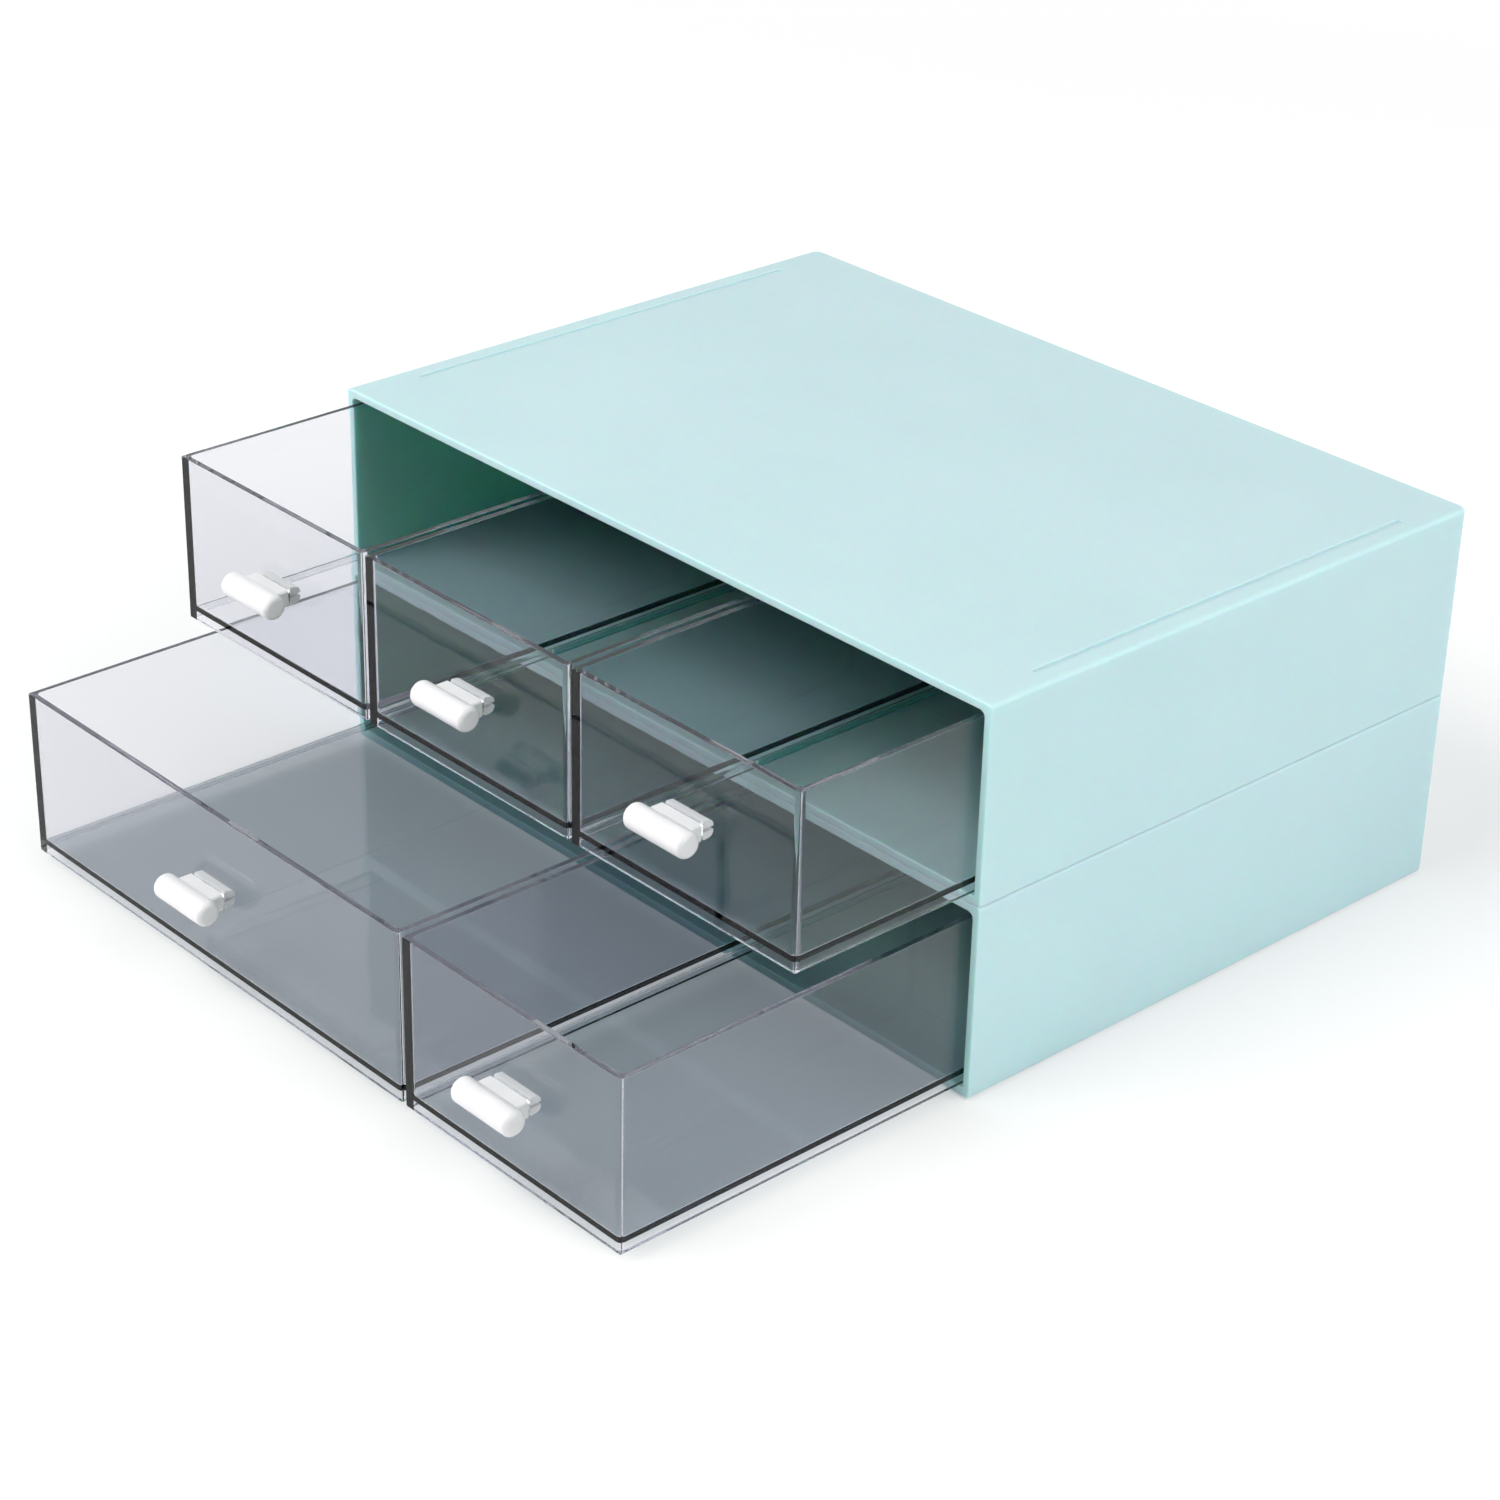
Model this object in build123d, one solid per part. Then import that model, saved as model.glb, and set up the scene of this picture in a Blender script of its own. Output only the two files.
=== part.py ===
from build123d import *
import os

# Outer size and walls of one case unit, in millimetres
CASE_WIDTH = 260.0
CASE_DEPTH = 185.0
CASE_HEIGHT = 56.5
SIDE_WALL = 2.2
TOP_WALL = 2.4
FLOOR_WALL = 2.6
BACK_WALL = 2.2

# Rounding of the case
REAR_CORNER_RADIUS = 3.0
TOP_EDGE_RADIUS = 1.2
BOTTOM_EDGE_RADIUS = 0.8
MOUTH_TOP_RADIUS = 1.7
MOUTH_FLOOR_RADIUS = 0.8
FRONT_EDGE_RADIUS = 0.35

# Ribs under a unit that drop into grooves in the top of the unit below
RIB_INSET = 6.5
RIB_WIDTH = 1.5
RIB_HEIGHT = 0.5
RIB_END_INSET = 21.75
RIB_SIDE_CLEARANCE = 0.25
RIB_DEPTH_CLEARANCE = 0.1
RIB_EDGE_RADIUS = 0.25
GROOVE_EDGE_RADIUS = 0.3

# Low guides on the case floor that keep neighbouring drawers in their lanes
GUIDE_CLEARANCE = 0.4
GUIDE_HEIGHT = 1.6
GUIDE_FRONT_INSET = 4.0
GUIDE_EDGE_RADIUS = 0.3

# Drawers, named from left to right
UPPER_NAMES = ["upper_left", "upper_middle", "upper_right"]
LOWER_NAMES = ["lower_wide", "lower_narrow"]
SIDE_CLEARANCE = 1.0
DRAWER_GAP = 1.6
RUN_CLEARANCE = 0.3
REAR_CLEARANCE = 1.0
HEADROOM = 1.7
DRAWER_WALL = 1.8
DRAWER_FLOOR = 1.5
SKIRT_HEIGHT = 2.2
DRAWER_CORNER_RADIUS = 0.4
WELL_CORNER_RADIUS = 1.1
WELL_FLOOR_RADIUS = 0.5
RECESS_CORNER_RADIUS = 0.8
RIM_EDGE_RADIUS = 0.25

# How far the drawers stand open
UPPER_OPEN = 59.5
LOWER_OPEN = 113.5

# Snap-in handle: a round bar on a flat neck, held by a split plug behind the panel
BAR_LENGTH = 21.6
BAR_DIAMETER = 7.2
BAR_END_RADIUS = 1.5
BAR_REACH = 6.4
HANDLE_DROP = 1.0
NECK_SHOULDER = 0.7
NECK_CORNER_RADIUS = 0.9
NECK_BLEND_RADIUS = 0.6
PLUG_WIDTH = 13.8
PLUG_HEIGHT = 3.8
PLUG_CORNER_RADIUS = 0.8
PLUG_CLEARANCE = 0.12
CLIP_LENGTH = 3.4
CLIP_LIP = 0.8
CLIP_TIP_INSET = 0.5
CLIP_LIP_ROUND = 0.5
CLIP_TIP_ROUND = 1.6
CLIP_CLEARANCE = 0.1
SPLIT_WIDTH = 0.9
SPLIT_ROOT = 0.6

# Sizes that follow from the ones above
CASE_FRONT = -CASE_DEPTH / 2
INNER_WIDTH = CASE_WIDTH - 2 * SIDE_WALL
INNER_HEIGHT = CASE_HEIGHT - TOP_WALL - FLOOR_WALL
INNER_DEPTH = CASE_DEPTH - BACK_WALL
RIB_LENGTH = CASE_DEPTH - 2 * RIB_END_INSET
RIB_OFFSET = CASE_WIDTH / 2 - RIB_INSET
GROOVE_WIDTH = RIB_WIDTH + 2 * RIB_SIDE_CLEARANCE
GROOVE_LENGTH = RIB_LENGTH + 2 * RIB_SIDE_CLEARANCE
GROOVE_DEPTH = RIB_HEIGHT + RIB_DEPTH_CLEARANCE
GUIDE_WIDTH = DRAWER_GAP - 2 * GUIDE_CLEARANCE
BANK_WIDTH = INNER_WIDTH - 2 * SIDE_CLEARANCE
LANE_COUNT = len(UPPER_NAMES)
NARROW_WIDTH = (BANK_WIDTH - (LANE_COUNT - 1) * DRAWER_GAP) / LANE_COUNT
WIDE_WIDTH = BANK_WIDTH - NARROW_WIDTH - DRAWER_GAP
DRAWER_DEPTH = INNER_DEPTH - REAR_CLEARANCE
DRAWER_HEIGHT = INNER_HEIGHT - RUN_CLEARANCE - HEADROOM
WELL_FLOOR = SKIRT_HEIGHT + DRAWER_FLOOR
HANDLE_LEVEL = DRAWER_HEIGHT / 2 - HANDLE_DROP
NECK_WIDTH = PLUG_WIDTH + 2 * NECK_SHOULDER
NECK_HEIGHT = PLUG_HEIGHT + 2 * NECK_SHOULDER
LOWER_BASE = RIB_HEIGHT
UPPER_BASE = LOWER_BASE + CASE_HEIGHT
CUT_MARGIN = 1.0


def case_unit(guide_places):
    """One open-fronted case with its underside on the XY plane."""
    shell = Pos(0, 0, CASE_HEIGHT / 2) * Box(CASE_WIDTH, CASE_DEPTH, CASE_HEIGHT)
    rear_corners = shell.edges().filter_by(Axis.Z).group_by(Axis.Y)[-1]
    shell = shell.fillet(REAR_CORNER_RADIUS, rear_corners)
    top_edges = shell.faces().sort_by(Axis.Z)[-1].edges().sort_by(Axis.Y)[1:]
    shell = shell.fillet(TOP_EDGE_RADIUS, top_edges)
    bottom_edges = shell.faces().sort_by(Axis.Z)[0].edges().sort_by(Axis.Y)[1:]
    shell = shell.fillet(BOTTOM_EDGE_RADIUS, bottom_edges)

    cavity = Box(INNER_WIDTH, INNER_DEPTH, INNER_HEIGHT)
    top_corners = cavity.edges().filter_by(Axis.Y).group_by(Axis.Z)[-1]
    cavity = cavity.fillet(MOUTH_TOP_RADIUS, top_corners)
    floor_corners = cavity.edges().filter_by(Axis.Y).group_by(Axis.Z)[0]
    cavity = cavity.fillet(MOUTH_FLOOR_RADIUS, floor_corners)
    case = shell - Pos(0, -BACK_WALL / 2, FLOOR_WALL + INNER_HEIGHT / 2) * cavity
    case = case.fillet(FRONT_EDGE_RADIUS, case.faces().sort_by(Axis.Y)[0].edges())

    rib = extrude(SlotOverall(RIB_LENGTH, RIB_WIDTH, rotation=90), RIB_HEIGHT)
    rib = rib.fillet(RIB_EDGE_RADIUS, rib.faces().sort_by(Axis.Z)[0].edges())
    groove = extrude(SlotOverall(GROOVE_LENGTH, GROOVE_WIDTH, rotation=90), GROOVE_DEPTH)
    groove = groove.fillet(RIB_EDGE_RADIUS, groove.faces().sort_by(Axis.Z)[0].edges())
    for side in (-RIB_OFFSET, RIB_OFFSET):
        case += Pos(side, 0, -RIB_HEIGHT) * rib
        case -= Pos(side, 0, CASE_HEIGHT - GROOVE_DEPTH) * groove
    groove_rims = case.faces().sort_by(Axis.Z)[-1].inner_wires()
    case = case.fillet(GROOVE_EDGE_RADIUS, [edge for rim in groove_rims for edge in rim.edges()])

    guide_length = INNER_DEPTH - GUIDE_FRONT_INSET
    guide = Box(GUIDE_WIDTH, guide_length, GUIDE_HEIGHT)
    guide_edges = guide.faces().sort_by(Axis.Z)[-1].edges().sort_by(Axis.Y)[:-1]
    guide = guide.fillet(GUIDE_EDGE_RADIUS, guide_edges)
    guide_middle = CASE_FRONT + GUIDE_FRONT_INSET + guide_length / 2
    for place in guide_places:
        case += Pos(place, guide_middle, FLOOR_WALL + GUIDE_HEIGHT / 2) * guide
    return case


def drawer(width):
    """An open-topped drawer with its front on the XZ plane and its skirt on the XY plane."""
    middle = DRAWER_DEPTH / 2
    box = Pos(0, middle, DRAWER_HEIGHT / 2) * Box(width, DRAWER_DEPTH, DRAWER_HEIGHT)
    box = box.fillet(DRAWER_CORNER_RADIUS, box.edges().filter_by(Axis.Z))

    well_width = width - 2 * DRAWER_WALL
    well_depth = DRAWER_DEPTH - 2 * DRAWER_WALL
    well_height = DRAWER_HEIGHT - WELL_FLOOR
    well = Pos(0, middle, WELL_FLOOR + well_height / 2) * Box(well_width, well_depth, well_height)
    well = well.fillet(WELL_CORNER_RADIUS, well.edges().filter_by(Axis.Z))
    well = well.fillet(WELL_FLOOR_RADIUS, well.faces().sort_by(Axis.Z)[0].edges())

    recess = Pos(0, middle, SKIRT_HEIGHT / 2) * Box(well_width, well_depth, SKIRT_HEIGHT)
    recess = recess.fillet(RECESS_CORNER_RADIUS, recess.edges().filter_by(Axis.Z))
    body = box - well - recess
    body = body.fillet(RIM_EDGE_RADIUS, body.faces().sort_by(Axis.Z)[-1].edges())
    body = body.fillet(RIM_EDGE_RADIUS, body.faces().sort_by(Axis.Z)[0].edges())

    slot_width = PLUG_WIDTH + 2 * PLUG_CLEARANCE
    slot_height = PLUG_HEIGHT + 2 * PLUG_CLEARANCE
    slot_radius = PLUG_CORNER_RADIUS + PLUG_CLEARANCE
    slot_outline = RectangleRounded(slot_width, slot_height, slot_radius)
    slot = extrude(Plane.XZ * slot_outline, DRAWER_WALL + CUT_MARGIN, both=True)
    return body - Pos(0, 0, HANDLE_LEVEL) * slot


def handle():
    """A bar, neck and split plug about the point where the handle meets the panel's outer face."""
    bar = Rot(0, 90, 0) * Cylinder(BAR_DIAMETER / 2, BAR_LENGTH)
    bar = bar.fillet(BAR_END_RADIUS, bar.edges().filter_by(GeomType.CIRCLE))
    neck_outline = RectangleRounded(NECK_WIDTH, NECK_HEIGHT, NECK_CORNER_RADIUS)
    neck = extrude(Plane.XZ * neck_outline, BAR_REACH)
    bar = Pos(0, -BAR_REACH, 0) * bar
    grip = bar + neck
    grip = grip.fillet(NECK_BLEND_RADIUS, new_edges(bar, neck, combined=grip))
    plug_outline = RectangleRounded(PLUG_WIDTH, PLUG_HEIGHT, PLUG_CORNER_RADIUS)
    plug = extrude(Plane.XZ * plug_outline, -(DRAWER_WALL + CLIP_CLEARANCE))

    lip_start = DRAWER_WALL + CLIP_CLEARANCE
    tip = lip_start + CLIP_LENGTH
    lip_level = PLUG_HEIGHT / 2 + CLIP_LIP
    tip_level = lip_level - CLIP_TIP_INSET
    clip_points = [(lip_start, lip_level), (tip, tip_level), (tip, -tip_level), (lip_start, -lip_level)]
    clip_outline = make_face(Polyline(*clip_points, close=True))
    clip_outline = fillet(clip_outline.vertices().group_by(Axis.X)[0], CLIP_LIP_ROUND)
    clip_outline = fillet(clip_outline.vertices().group_by(Axis.X)[-1], CLIP_TIP_ROUND)
    clip = extrude(Plane.YZ * clip_outline, PLUG_WIDTH / 2, both=True)
    split_length = tip - SPLIT_ROOT
    split_middle = SPLIT_ROOT + split_length / 2
    split = Pos(0, split_middle, 0) * Box(PLUG_WIDTH, split_length, SPLIT_WIDTH)
    return grip + plug + clip - split


def bank(names, widths, base, opened):
    """Named drawers and handles side by side across a case, and the places between the lanes."""
    pieces = {}
    gaps = []
    left = -BANK_WIDTH / 2
    for name, width in zip(names, widths):
        place = Pos(left + width / 2, CASE_FRONT - opened, base + FLOOR_WALL + RUN_CLEARANCE)
        pieces[name + "_drawer"] = place * drawer(width)
        pieces[name + "_handle"] = place * Pos(0, 0, HANDLE_LEVEL) * handle()
        left += width + DRAWER_GAP
        gaps.append(left - DRAWER_GAP / 2)
    return pieces, gaps[:-1]


upper_pieces, upper_gaps = bank(UPPER_NAMES, [NARROW_WIDTH] * LANE_COUNT, UPPER_BASE, UPPER_OPEN)
lower_pieces, lower_gaps = bank(LOWER_NAMES, [WIDE_WIDTH, NARROW_WIDTH], LOWER_BASE, LOWER_OPEN)

nodes = {
    "lower_case": Pos(0, 0, LOWER_BASE) * case_unit(lower_gaps),
    "upper_case": Pos(0, 0, UPPER_BASE) * case_unit(upper_gaps),
}
nodes.update(upper_pieces)
nodes.update(lower_pieces)

os.makedirs("parts", exist_ok=True)
for name, solid in nodes.items():
    solid.label = name
    export_step(solid, os.path.join("parts", name + ".step"))
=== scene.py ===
"""Desktop drawer organizer: two stacked moulded cases, five clear drawers and their snap-in handles.

Every shape is the CAD node's own. This file gives each one its plastic, and sets the stage.
"""

import math

import bpy
import numpy as np
from mathutils import Matrix, Vector


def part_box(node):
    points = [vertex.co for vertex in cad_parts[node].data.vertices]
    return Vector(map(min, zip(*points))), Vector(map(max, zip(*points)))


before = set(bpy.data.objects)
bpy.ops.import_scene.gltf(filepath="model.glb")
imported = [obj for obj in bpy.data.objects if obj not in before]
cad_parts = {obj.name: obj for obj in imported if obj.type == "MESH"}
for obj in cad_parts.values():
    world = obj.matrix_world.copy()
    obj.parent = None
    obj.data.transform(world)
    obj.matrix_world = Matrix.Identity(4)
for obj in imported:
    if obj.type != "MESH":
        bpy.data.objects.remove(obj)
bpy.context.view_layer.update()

bl_info = {
    "name": "Desktop Drawer Organizer",
    "version": (1, 0, 0),
    "blender": (4, 5, 0),
    "location": "3D View > Sidebar > Organizer",
    "description": "Dresses the cases, the clear drawers and the handles of a desktop drawer organizer",
    "category": "Object",
}

CASES = ["lower_case", "upper_case"]
DRAWERS = [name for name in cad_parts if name.endswith("_drawer")]
HANDLES = [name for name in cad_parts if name.endswith("_handle")]
MM = 0.001

# Moulded ABS, mint and white
ABS_IOR = 1.53
DEEPER_AT, LIGHTER_AT = 0.3, 0.7    # noise values at which the flow clouds reach their two tones

# Mint ABS of the cases
MINT_CLOUD_DETAIL = 3.0
MINT_GRAIN_DETAIL = 2.0
MINT_GRAIN_STRENGTH = 0.12
MINT_GRAIN_DEPTH = 0.05 * MM
MINT_GLOSS_SPREAD = 0.05            # roughness more or less than the set one
MINT_SCATTER = (0.4, 1.0, 0.7)      # share of the scatter depth for red, green and blue
MINT_SCATTER_DEPTH = 3.0 * MM

# Clear polystyrene of the drawers
HAZE_DETAIL = 2.0
HAZE_LEAST, HAZE_MOST = 0.5, 1.5    # times the set roughness
RIPPLE_STRENGTH = 0.6
RIPPLE_DEPTH = 0.15 * MM
# The lower drawers' floor plates carry painted shade, which stands in for the shadowed table under them;
# these set where it lies and where it fades out.
PLATE_MIDDLE = 2.95 * MM            # middle of the floor plate above the drawer's lowest point
PLATE_REACH = 1.1 * MM              # half the plate's thickness and a little more
FADE_BEFORE = 0.25                  # share of the fade that lies in front of the case's mouth

# White ABS of the handles
WHITE_CLOUD_DETAIL = 2.0
WHITE_PEEL_DETAIL = 1.0
WHITE_PEEL_STRENGTH = 0.2
WHITE_PEEL_DEPTH = 0.03 * MM
WHITE_GLOSS_SPREAD = 0.04

# Stage
WHITE = (1.0, 1.0, 1.0, 1.0)
FLOOR_MOTTLE = 0.25                 # width of the board's uneven patches in metres
FLOOR_ROUGH_LEAST, FLOOR_ROUGH_MOST = 0.8, 0.9
NEAR_GLOW = 0.3                     # share of plain white close to the object, the rest shows the shadow
CLIP_END = 50
BOUNCES = 40                        # enough for the light held in the edges of the clear walls
BOUNCE_LIMITS = ("max_bounces", "glossy_bounces", "transmission_bounces", "transparent_max_bounces")
LAMPS = [                           # name, place, aim, width and height in metres, watts
    ("softbox_top", (-0.1, 0.1, 1.5), (0, -0.05, 0.05), (1.6, 1.6), 5.6),
    ("softbox_front", (-0.3, -1.0, 1.25), (0, -0.1, 0.05), (1.0, 0.8), 14),
    ("softbox_low", (-0.9, -1.1, 0.3), (0.05, -0.1, 0.03), (0.8, 0.4), 7.5),
    ("softbox_right", (1.5, 0.5, 0.95), (0, -0.05, 0.03), (2.0, 1.5), 23.5),
]


def linear(code):
    """An sRGB hex colour as linear red, green and blue."""
    parts = np.array([int(code[i:i + 2], 16) for i in (1, 3, 5)]) / 255
    low, high = parts / 12.92, ((parts + 0.055) / 1.055) ** 2.4
    return tuple(np.where(parts <= 0.04045, low, high))


def opaque(colour):
    """A colour setting with full alpha, as the nodes' sockets take it."""
    return (*colour, 1.0)


def add_node(tree, kind, inputs=None, **settings):
    """Adds one node, applies its settings, and sets each input to a value or links it to a socket."""
    made = tree.nodes.new(kind)
    for name, value in settings.items():
        setattr(made, name, value)
    for name, value in (inputs or {}).items():
        if isinstance(value, bpy.types.NodeSocket):
            tree.links.new(value, made.inputs[name])
        else:
            made.inputs[name].default_value = value
    return made


def new_tree(name):
    """An empty material of that name and its node tree."""
    material = bpy.data.materials.new(name)
    material.use_nodes = True
    material.node_tree.nodes.clear()
    return material, material.node_tree


def flow_clouds(tree, where, look, detail):
    """Sockets for the cloud pattern and for its tone, which goes from the look's shade to its colour."""
    clouds = add_node(tree, "ShaderNodeTexNoise", {
        "Vector": where, "Scale": 1 / look.cloud, "Detail": detail})
    tone = add_node(tree, "ShaderNodeValToRGB", {"Fac": clouds.outputs["Fac"]})
    stops = zip(tone.color_ramp.elements, (DEEPER_AT, LIGHTER_AT), (look.shade, look.colour))
    for stop, position, colour in stops:
        stop.position, stop.color = position, opaque(colour)
    return clouds.outputs["Fac"], tone.outputs["Color"]


def mint_abs(look):
    """Injection-moulded ABS, dyed right through.

    The eye gets a satin skin with a fine spark-eroded grain, drawn coarse enough to show, faint flow
    clouds in the tone, and light that scatters in the thin wall and comes out greener.
    """
    material, tree = new_tree("mint_moulded_abs")
    where = add_node(tree, "ShaderNodeTexCoord").outputs["Object"]
    _, tone = flow_clouds(tree, where, look, MINT_CLOUD_DETAIL)
    grain = add_node(tree, "ShaderNodeTexNoise", {
        "Vector": where, "Scale": 1 / look.grain, "Detail": MINT_GRAIN_DETAIL})
    gloss = add_node(tree, "ShaderNodeMapRange", {
        "Value": grain.outputs["Fac"],
        "To Min": look.roughness - MINT_GLOSS_SPREAD, "To Max": look.roughness + MINT_GLOSS_SPREAD})
    relief = add_node(tree, "ShaderNodeBump", {
        "Height": grain.outputs["Fac"], "Strength": MINT_GRAIN_STRENGTH, "Distance": MINT_GRAIN_DEPTH})
    shader = add_node(tree, "ShaderNodeBsdfPrincipled", {
        "Base Color": tone, "Roughness": gloss.outputs["Result"],
        "Normal": relief.outputs["Normal"], "IOR": ABS_IOR, "Subsurface Weight": 1.0,
        "Subsurface Radius": MINT_SCATTER, "Subsurface Scale": MINT_SCATTER_DEPTH})
    add_node(tree, "ShaderNodeOutputMaterial", {"Surface": shader.outputs["BSDF"]})
    return material


def painted_shade_plate(tree, where, look):
    """A socket that is 1 on the level faces of the lower drawers' floor plates, and else 0.

    It marks painted shade: a darker base colour that stands in for the shadowed table under the plates. It
    fades out along the plate where the case's mouth is at rest, because behind it the case's mint floor
    lies under the plate.
    """
    place = add_node(tree, "ShaderNodeSeparateXYZ", {"Vector": where})
    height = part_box("lower_narrow_drawer")[0][2] + PLATE_MIDDLE
    band = add_node(tree, "ShaderNodeMath", {
        0: place.outputs["Z"], 1: height, 2: PLATE_REACH}, operation="COMPARE")
    facing = add_node(tree, "ShaderNodeSeparateXYZ", {
        "Vector": add_node(tree, "ShaderNodeNewGeometry").outputs["True Normal"]})
    upright = add_node(tree, "ShaderNodeMath", {0: facing.outputs["Z"]}, operation="ABSOLUTE")
    level_part = add_node(tree, "ShaderNodeMath", {
        0: band.outputs["Value"], 1: upright.outputs["Value"]}, operation="MULTIPLY")
    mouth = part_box("lower_case")[0][1]
    front_part = add_node(tree, "ShaderNodeMapRange", {
        "Value": place.outputs["Y"],
        "From Min": mouth - look.fade * FADE_BEFORE, "From Max": mouth + look.fade * (1 - FADE_BEFORE),
        "To Min": 1.0, "To Max": 0.0})
    plate = add_node(tree, "ShaderNodeMath", {
        0: level_part.outputs["Value"], 1: front_part.outputs["Result"]}, operation="MULTIPLY")
    return plate.outputs["Value"]


def smoke_polystyrene(look):
    """Injection-moulded clear polystyrene, polished.

    The eye gets sharp gloss, slow ripples from the flow, thin dark and bright lines where light is held
    in the edges, and a smoke tint that deepens along a long way through. The floor plates of the lower
    drawers carry painted shade in front of the case's mouth: a darker grey base colour that stands in for
    the shadowed table under them. Light for other surfaces goes straight through, so what lies behind the
    plastic is lit.
    """
    material, tree = new_tree("smoke_clear_polystyrene")
    where = add_node(tree, "ShaderNodeTexCoord").outputs["Object"]
    haze = add_node(tree, "ShaderNodeTexNoise", {
        "Vector": where, "Scale": 1 / look.haze, "Detail": HAZE_DETAIL})
    gloss = add_node(tree, "ShaderNodeMapRange", {
        "Value": haze.outputs["Fac"],
        "To Min": look.roughness * HAZE_LEAST, "To Max": look.roughness * HAZE_MOST})
    ripple = add_node(tree, "ShaderNodeBump", {
        "Height": haze.outputs["Fac"], "Strength": RIPPLE_STRENGTH, "Distance": RIPPLE_DEPTH})
    # Painted shade: where this mask is 1, the base colour turns to the darker floor tint, which stands in
    # for the shadowed table under the lower drawers.
    plate = painted_shade_plate(tree, where, look)
    # A colour Mix node's sockets are taken by number: 0 the factor, 6 and 7 the colours, 2 the result.
    tone = add_node(tree, "ShaderNodeMix", {
        0: plate, 6: opaque(look.skin), 7: opaque(look.floor)}, data_type="RGBA")
    shader = add_node(tree, "ShaderNodeBsdfPrincipled", {
        "Base Color": tone.outputs[2], "Roughness": gloss.outputs["Result"],
        "Normal": ripple.outputs["Normal"], "IOR": look.index, "Transmission Weight": 1.0})
    rays = add_node(tree, "ShaderNodeLightPath")
    shade = add_node(tree, "ShaderNodeMix", {
        0: plate, 6: opaque(look.shade), 7: opaque(look.floor_shade)}, data_type="RGBA")
    let_through = add_node(tree, "ShaderNodeBsdfTransparent", {"Color": shade.outputs[2]})
    surface = shader.outputs["BSDF"]
    for kind in ("Is Shadow Ray", "Is Diffuse Ray"):
        surface = add_node(tree, "ShaderNodeMixShader", {
            "Fac": rays.outputs[kind], 1: surface, 2: let_through.outputs["BSDF"]}).outputs["Shader"]
    inside = add_node(tree, "ShaderNodeVolumeAbsorption", {
        "Color": opaque(look.tint), "Density": look.density})
    add_node(tree, "ShaderNodeOutputMaterial", {
        "Surface": surface, "Volume": inside.outputs["Volume"]})
    return material


def white_abs(look):
    """Injection-moulded white ABS from a polished tool.

    The eye gets a soft gloss that varies a little, a faint unevenness of the skin and a neutral white.
    """
    material, tree = new_tree("white_polished_abs")
    where = add_node(tree, "ShaderNodeTexCoord").outputs["Object"]
    clouds, tone = flow_clouds(tree, where, look, WHITE_CLOUD_DETAIL)
    gloss = add_node(tree, "ShaderNodeMapRange", {
        "Value": clouds,
        "To Min": look.roughness - WHITE_GLOSS_SPREAD, "To Max": look.roughness + WHITE_GLOSS_SPREAD})
    peel = add_node(tree, "ShaderNodeTexNoise", {
        "Vector": where, "Scale": 1 / look.peel, "Detail": WHITE_PEEL_DETAIL})
    relief = add_node(tree, "ShaderNodeBump", {
        "Height": peel.outputs["Fac"], "Strength": WHITE_PEEL_STRENGTH, "Distance": WHITE_PEEL_DEPTH})
    shader = add_node(tree, "ShaderNodeBsdfPrincipled", {
        "Base Color": tone, "Roughness": gloss.outputs["Result"],
        "Normal": relief.outputs["Normal"], "IOR": ABS_IOR})
    add_node(tree, "ShaderNodeOutputMaterial", {"Surface": shader.outputs["BSDF"]})
    return material


def dress(names, material):
    """Makes one material the only one of the named nodes."""
    for name in names:
        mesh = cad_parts[name].data
        mesh.materials.clear()
        mesh.materials.append(material)


def hex_prop(name, description, code):
    """A colour setting that starts at an sRGB hex value."""
    return bpy.props.FloatVectorProperty(
        name=name, description=description, subtype="COLOR", size=3, min=0.0, max=1.0,
        default=linear(code))


def length_prop(name, description, default):
    """A length setting in metres."""
    return bpy.props.FloatProperty(
        name=name, description=description, unit="LENGTH", default=default, min=0.0)


def angle_prop(name, description, degrees):
    """An angle setting that starts at a value in degrees."""
    return bpy.props.FloatProperty(
        name=name, description=description, subtype="ANGLE", default=math.radians(degrees))


def roughness_prop(description, default):
    """A roughness setting."""
    return bpy.props.FloatProperty(
        name="Roughness", description=description, subtype="FACTOR", default=default, min=0.0, max=1.0)


class OrganizerCaseLook(bpy.types.PropertyGroup):
    """Settings of the cases' mint plastic"""

    colour: hex_prop("Colour", "Mint of the cases", "#C2DFE3")
    shade: hex_prop("Shade", "Slightly deeper mint of the flow clouds", "#BEDCE0")
    cloud: length_prop("Cloud size", "Width of the faint flow clouds", 45 * MM)
    grain: length_prop("Grain size", "Width of the moulded grain, drawn coarse enough to show", 0.6 * MM)
    roughness: roughness_prop("Satin of the skin", 0.42)


class OrganizerDrawerLook(bpy.types.PropertyGroup):
    """Settings of the drawers' clear plastic"""

    tint: hex_prop("Tint", "Smoke tint left after a long way through the plastic", "#86889C")
    density: bpy.props.FloatProperty(
        name="Density", description="Absorption per metre", default=30.0, min=0.0)
    skin: hex_prop("Skin", "What each polished face lets through", "#F7F7FA")
    index: bpy.props.FloatProperty(
        name="Index", description="Bending of light, which also sets the gloss", default=1.34, min=1.0)
    # Painted shade: the floor tint is a darker base colour on the lower drawers' floor plates that stands
    # in for the shadowed table under them; the floor shade tints the light let through there, and the fade
    # sets where the painted shade ends at the case's mouth.
    floor: hex_prop("Floor tint", "Smoke tint of the lower drawers' floor plates", "#B2BAC1")
    shade: hex_prop("Shade", "Tint of the light that falls through a wall", "#EEF1EF")
    floor_shade: hex_prop("Floor shade", "Tint of the light that falls through a smoked plate", "#D4D9DD")
    fade: length_prop("Fade", "Length over which the smoke tint ends near the case's mouth", 40 * MM)
    haze: length_prop("Haze size", "Width of the slow ripples and of the changes in polish", 30 * MM)
    roughness: roughness_prop("Polish of the faces", 0.02)


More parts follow.
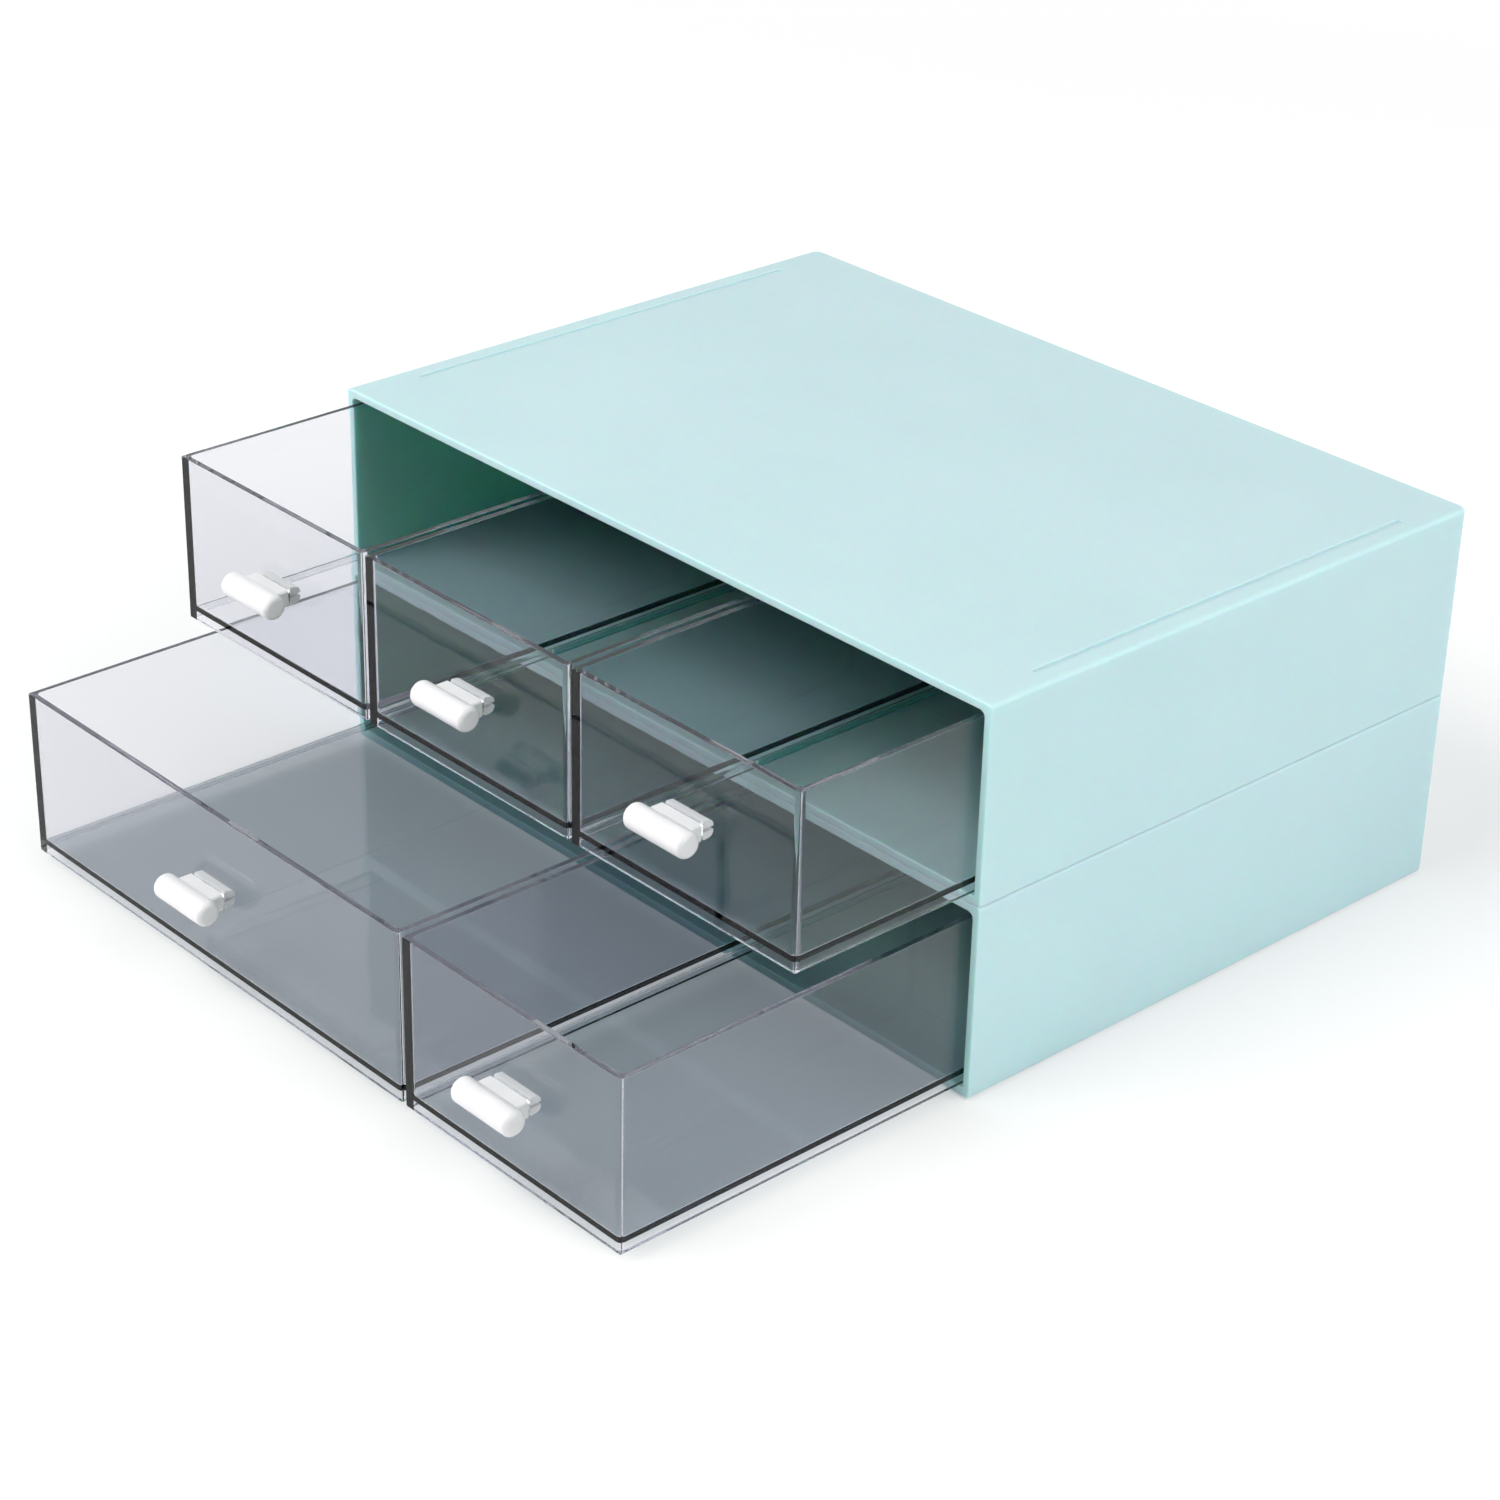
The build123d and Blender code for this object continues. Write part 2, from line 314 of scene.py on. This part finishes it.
class OrganizerHandleLook(bpy.types.PropertyGroup):
    """Settings of the handles' white plastic"""

    colour: hex_prop("Colour", "White of the handles", "#F3F2F4")
    shade: hex_prop("Shade", "Slightly greyer white", "#EDECEE")
    cloud: length_prop("Cloud size", "Width of the tone changes", 8 * MM)
    peel: length_prop("Peel size", "Width of the faint unevenness of the moulded skin", 1.2 * MM)
    roughness: roughness_prop("Polish of the skin", 0.22)


class OrganizerStageLook(bpy.types.PropertyGroup):
    """Settings of the floor, the room light and the camera"""

    floor: hex_prop("Floor", "Pale studio floor", "#FFFFFF")
    reach: length_prop("Reach", "Radius of the floor", 4.0)
    near: length_prop("Near", "Distance within which the floor keeps the object's shadow", 0.35)
    far: length_prop("Far", "Distance beyond which the floor is plain white", 0.9)
    ambient: bpy.props.FloatProperty(
        name="Ambient", description="Even light of the room", default=0.14, min=0.0)
    lens: bpy.props.FloatProperty(
        name="Lens", description="Focal length", default=85.536, unit="CAMERA")
    camera: bpy.props.FloatVectorProperty(
        name="Camera", description="Where the camera stands", subtype="TRANSLATION", unit="LENGTH",
        default=(0.6514, -0.6523, 0.5046))
    azimuth: angle_prop("Azimuth", "Turn of the view about the vertical", 47.3)
    elevation: angle_prop("Elevation", "How far the view looks down", 27.94)
    roll: angle_prop("Roll", "Turn of the camera about its own view", 1.42)


class ORGANIZER_OT_cases(bpy.types.Operator):
    """Gives the two cases their mint plastic"""

    bl_idname = "organizer.cases"
    bl_label = "Cases"

    def execute(self, context):
        dress(CASES, mint_abs(context.scene.organizer_case))
        return {"FINISHED"}


class ORGANIZER_OT_drawers(bpy.types.Operator):
    """Gives the five drawers their clear plastic"""

    bl_idname = "organizer.drawers"
    bl_label = "Drawers"

    def execute(self, context):
        dress(DRAWERS, smoke_polystyrene(context.scene.organizer_drawer))
        return {"FINISHED"}


class ORGANIZER_OT_handles(bpy.types.Operator):
    """Gives the five handles their white plastic"""

    bl_idname = "organizer.handles"
    bl_label = "Handles"

    def execute(self, context):
        dress(HANDLES, white_abs(context.scene.organizer_handle))
        return {"FINISHED"}


def disc(name, radius, turns=64):
    """A flat round mesh: a ring of points, each the radius times the cosine and sine of its angle."""
    angle = np.linspace(0, 2 * np.pi, turns, endpoint=False)
    ring = radius * np.stack([np.cos(angle), np.sin(angle), np.zeros(turns)], axis=1)
    mesh = bpy.data.meshes.new(name)
    mesh.from_pydata(ring.tolist(), [], [list(range(turns))])
    return mesh


def in_view(tree):
    """A socket that is 1 where the camera looks, straight or by way of gloss and clear plastic, else 0."""
    rays = add_node(tree, "ShaderNodeLightPath")
    seen = rays.outputs["Is Camera Ray"]
    for kind in ("Is Glossy Ray", "Is Transmission Ray"):
        seen = add_node(tree, "ShaderNodeMath", {
            0: seen, 1: rays.outputs[kind]}, operation="MAXIMUM").outputs["Value"]
    direct = add_node(tree, "ShaderNodeMath", {
        0: rays.outputs["Diffuse Depth"], 1: 0.5}, operation="LESS_THAN")
    both = add_node(tree, "ShaderNodeMath", {0: seen, 1: direct.outputs["Value"]}, operation="MULTIPLY")
    return both.outputs["Value"]


def white_board(look):
    """Matt white studio board that keeps the shadow close by and glows to plain white further out."""
    material, tree = new_tree("matt_white_board")
    where = add_node(tree, "ShaderNodeTexCoord").outputs["Object"]
    mottle = add_node(tree, "ShaderNodeTexNoise", {"Vector": where, "Scale": 1 / FLOOR_MOTTLE})
    rough = add_node(tree, "ShaderNodeMapRange", {
        "Value": mottle.outputs["Fac"], "To Min": FLOOR_ROUGH_LEAST, "To Max": FLOOR_ROUGH_MOST})
    matt = add_node(tree, "ShaderNodeBsdfDiffuse", {
        "Color": opaque(look.floor), "Roughness": rough.outputs["Result"]})
    glow = add_node(tree, "ShaderNodeEmission", {"Color": WHITE, "Strength": 1.0})
    away = add_node(tree, "ShaderNodeVectorMath", {0: where}, operation="LENGTH")
    fade = add_node(tree, "ShaderNodeMapRange", {
        "Value": away.outputs["Value"], "From Min": look.near, "From Max": look.far,
        "To Min": NEAR_GLOW, "To Max": 1.0})
    share = add_node(tree, "ShaderNodeMath", {
        0: in_view(tree), 1: fade.outputs["Result"]}, operation="MULTIPLY")
    mix = add_node(tree, "ShaderNodeMixShader", {
        "Fac": share.outputs["Value"], 1: matt.outputs["BSDF"], 2: glow.outputs["Emission"]})
    add_node(tree, "ShaderNodeOutputMaterial", {"Surface": mix.outputs["Shader"]})
    return material


def softbox(name, place, aim, size, power):
    """Hangs a rectangular area lamp at a place, turned to face its aim."""
    data = bpy.data.lights.new(name, "AREA")
    data.shape = "RECTANGLE"
    data.size, data.size_y = size
    data.energy = power
    lamp = bpy.data.objects.new(name, data)
    lamp.location = place
    lamp.rotation_euler = (Vector(aim) - Vector(place)).to_track_quat("-Z", "Y").to_euler()
    bpy.context.scene.collection.objects.link(lamp)


def studio_room(look):
    """A room that lights the object evenly, and is plain white where the camera sees it."""
    world = bpy.data.worlds.new("studio_room")
    world.use_nodes = True
    tree = world.node_tree
    tree.nodes.clear()
    strength = add_node(tree, "ShaderNodeMapRange", {
        "Value": in_view(tree), "To Min": look.ambient, "To Max": 1.0})
    back = add_node(tree, "ShaderNodeBackground", {
        "Color": WHITE, "Strength": strength.outputs["Result"]})
    add_node(tree, "ShaderNodeOutputWorld", {"Surface": back.outputs["Background"]})
    return world


def camera_turn(look):
    """The camera's axes as a matrix: right and up turned by the roll, and the way back from the view."""
    back = Vector((
        math.sin(look.azimuth) * math.cos(look.elevation),
        -math.cos(look.azimuth) * math.cos(look.elevation),
        math.sin(look.elevation)))
    level_right = Vector((0, 0, 1)).cross(back).normalized()
    level_up = back.cross(level_right)
    right = level_right * math.cos(look.roll) + level_up * math.sin(look.roll)
    up = level_up * math.cos(look.roll) - level_right * math.sin(look.roll)
    return Matrix((right, up, back)).transposed().to_4x4()


class ORGANIZER_OT_stage(bpy.types.Operator):
    """Sets the floor, the soft lamps, the room light and the camera"""

    bl_idname = "organizer.stage"
    bl_label = "Stage"

    def execute(self, context):
        scene, look = context.scene, context.scene.organizer_stage
        floor = bpy.data.objects.new("studio_floor", disc("studio_floor", look.reach))
        floor.data.materials.append(white_board(look))
        scene.collection.objects.link(floor)

        for lamp in LAMPS:
            softbox(*lamp)
        scene.world = studio_room(look)
        for limit in BOUNCE_LIMITS:
            setattr(scene.cycles, limit, BOUNCES)
        scene.view_settings.view_transform = "Standard"

        data = bpy.data.cameras.new("camera")
        data.lens = look.lens
        data.clip_end = CLIP_END
        camera = bpy.data.objects.new("camera", data)
        camera.matrix_world = Matrix.Translation(look.camera) @ camera_turn(look)
        scene.collection.objects.link(camera)
        scene.camera = camera
        return {"FINISHED"}


class ORGANIZER_PT_sidebar(bpy.types.Panel):
    """Lists the organizer's pieces and their settings"""

    bl_label = "Desktop Drawer Organizer"
    bl_idname = "ORGANIZER_PT_sidebar"
    bl_space_type = "VIEW_3D"
    bl_region_type = "UI"
    bl_category = "Organizer"

    def draw(self, context):
        for step, look in STEPS:
            box = self.layout.box()
            box.operator(step.bl_idname)
            group = getattr(context.scene, look)
            for name in group.__annotations__:
                box.prop(group, name)


STEPS = [
    (ORGANIZER_OT_cases, "organizer_case"),
    (ORGANIZER_OT_drawers, "organizer_drawer"),
    (ORGANIZER_OT_handles, "organizer_handle"),
    (ORGANIZER_OT_stage, "organizer_stage"),
]
LOOKS = {
    "organizer_case": OrganizerCaseLook,
    "organizer_drawer": OrganizerDrawerLook,
    "organizer_handle": OrganizerHandleLook,
    "organizer_stage": OrganizerStageLook,
}
CLASSES = [*LOOKS.values(), *[step for step, look in STEPS], ORGANIZER_PT_sidebar]


def register():
    for made in CLASSES:
        bpy.utils.register_class(made)
    for name, group in LOOKS.items():
        setattr(bpy.types.Scene, name, bpy.props.PointerProperty(type=group))


def unregister():
    for name in LOOKS:
        delattr(bpy.types.Scene, name)
    for made in reversed(CLASSES):
        bpy.utils.unregister_class(made)


def main():
    register()
    bpy.ops.organizer.cases()
    bpy.ops.organizer.drawers()
    bpy.ops.organizer.handles()
    bpy.ops.organizer.stage()


if __name__ == "__main__":
    main()
